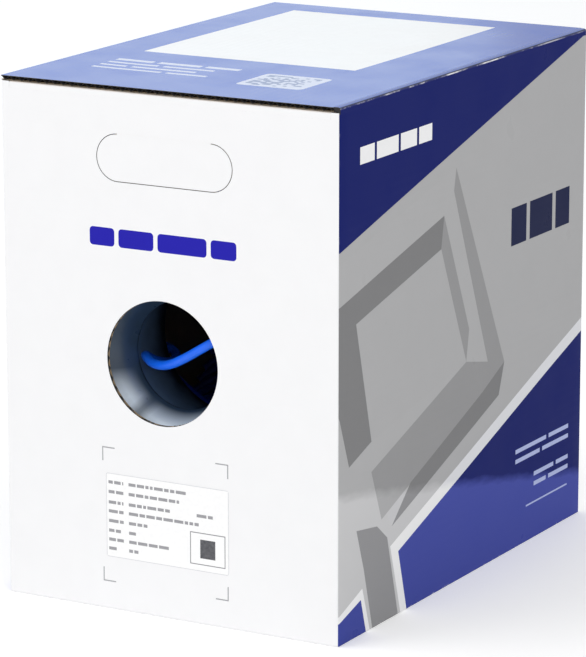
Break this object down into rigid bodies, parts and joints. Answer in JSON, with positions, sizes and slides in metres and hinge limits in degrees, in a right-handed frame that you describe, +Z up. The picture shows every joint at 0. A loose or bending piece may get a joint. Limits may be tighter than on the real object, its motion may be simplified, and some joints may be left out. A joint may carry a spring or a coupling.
{
  "type": "easy-pull cable box",
  "caption": "Corrugated carton of network cable: a wound coil inside feeds through a funnel behind a round pull-out hole; hinged top flaps and push-in hand holds.",
  "frame": {"origin": "centre of the carton's underside", "axes": "+Z up, the face with the pull-out hole towards -Y, the printed long side that carries the lid crease towards +X"},
  "size_m": [0.247, 0.3552, 0.345],
  "materials": {
    "white_board": "coated white board, satin",
    "printed_board": "glossy printed board in navy and grey",
    "kraft_board": "plain brown kraft board, matte",
    "copper_wire": "copper-coated steel staple wire",
    "dark_plastic": "smooth dark moulded plastic",
    "grey_tube": "plain extruded tube",
    "cable_jacket": "satin blue cable jacket",
    "label_paper": "matte white sticker paper"
  },
  "bodies": {
    "carton": {"front_panel": "white_board", "right_panel": "printed_board", "back_panel": "white_board", "left_panel": "printed_board", "glue_tab": "kraft_board", "bottom_flap_left": "kraft_board", "bottom_flap_right": "kraft_board", "bottom_dust_flap_front": "kraft_board", "bottom_dust_flap_back": "kraft_board", "bottom_staples": "copper_wire", "payout_funnel": "dark_plastic", "payout_tube": "grey_tube", "cable_coil": "cable_jacket", "cable_tail": "cable_jacket", "product_label": "label_paper"},
    "lid": {"lid_flap": "printed_board"},
    "inner_flap": {"inner_top_flap": "kraft_board"},
    "front_dust": {"top_dust_flap_front": "kraft_board"},
    "back_dust": {"top_dust_flap_back": "kraft_board"},
    "front_handle": {"front_handle_flap": "white_board"},
    "back_handle": {"back_handle_flap": "white_board"}
  },
  "joints": [
    {"name": "lid_hinge", "type": "hinge", "parent": "carton", "child": "lid", "pos_m": [0.1235, 0, 0.345], "axis": [0, 1, 0], "range_deg": [0, 225]},
    {"name": "inner_flap_hinge", "type": "hinge", "parent": "carton", "child": "inner_flap", "pos_m": [-0.1235, 0, 0.3417], "axis": [0, -1, 0], "range_deg": [0, 180]},
    {"name": "front_dust_hinge", "type": "hinge", "parent": "carton", "child": "front_dust", "pos_m": [0, -0.1775, 0.3417], "axis": [1, 0, 0], "range_deg": [0, 101.25]},
    {"name": "back_dust_hinge", "type": "hinge", "parent": "carton", "child": "back_dust", "pos_m": [0, 0.1775, 0.3417], "axis": [-1, 0, 0], "range_deg": [0, 101.25]},
    {"name": "front_handle_hinge", "type": "hinge", "parent": "carton", "child": "front_handle", "pos_m": [-0.00225, -0.1745, 0.314], "axis": [1, 0, 0], "range_deg": [0, 90]},
    {"name": "back_handle_hinge", "type": "hinge", "parent": "carton", "child": "back_handle", "pos_m": [-0.00225, 0.1745, 0.314], "axis": [-1, 0, 0], "range_deg": [0, 90]}
  ],
  "couplings": [
    {"joint": "inner_flap_hinge", "follows": "lid_hinge", "ratio": 0.8},
    {"joint": "front_dust_hinge", "follows": "lid_hinge", "ratio": 0.45},
    {"joint": "back_dust_hinge", "follows": "lid_hinge", "ratio": 0.45}
  ]
}
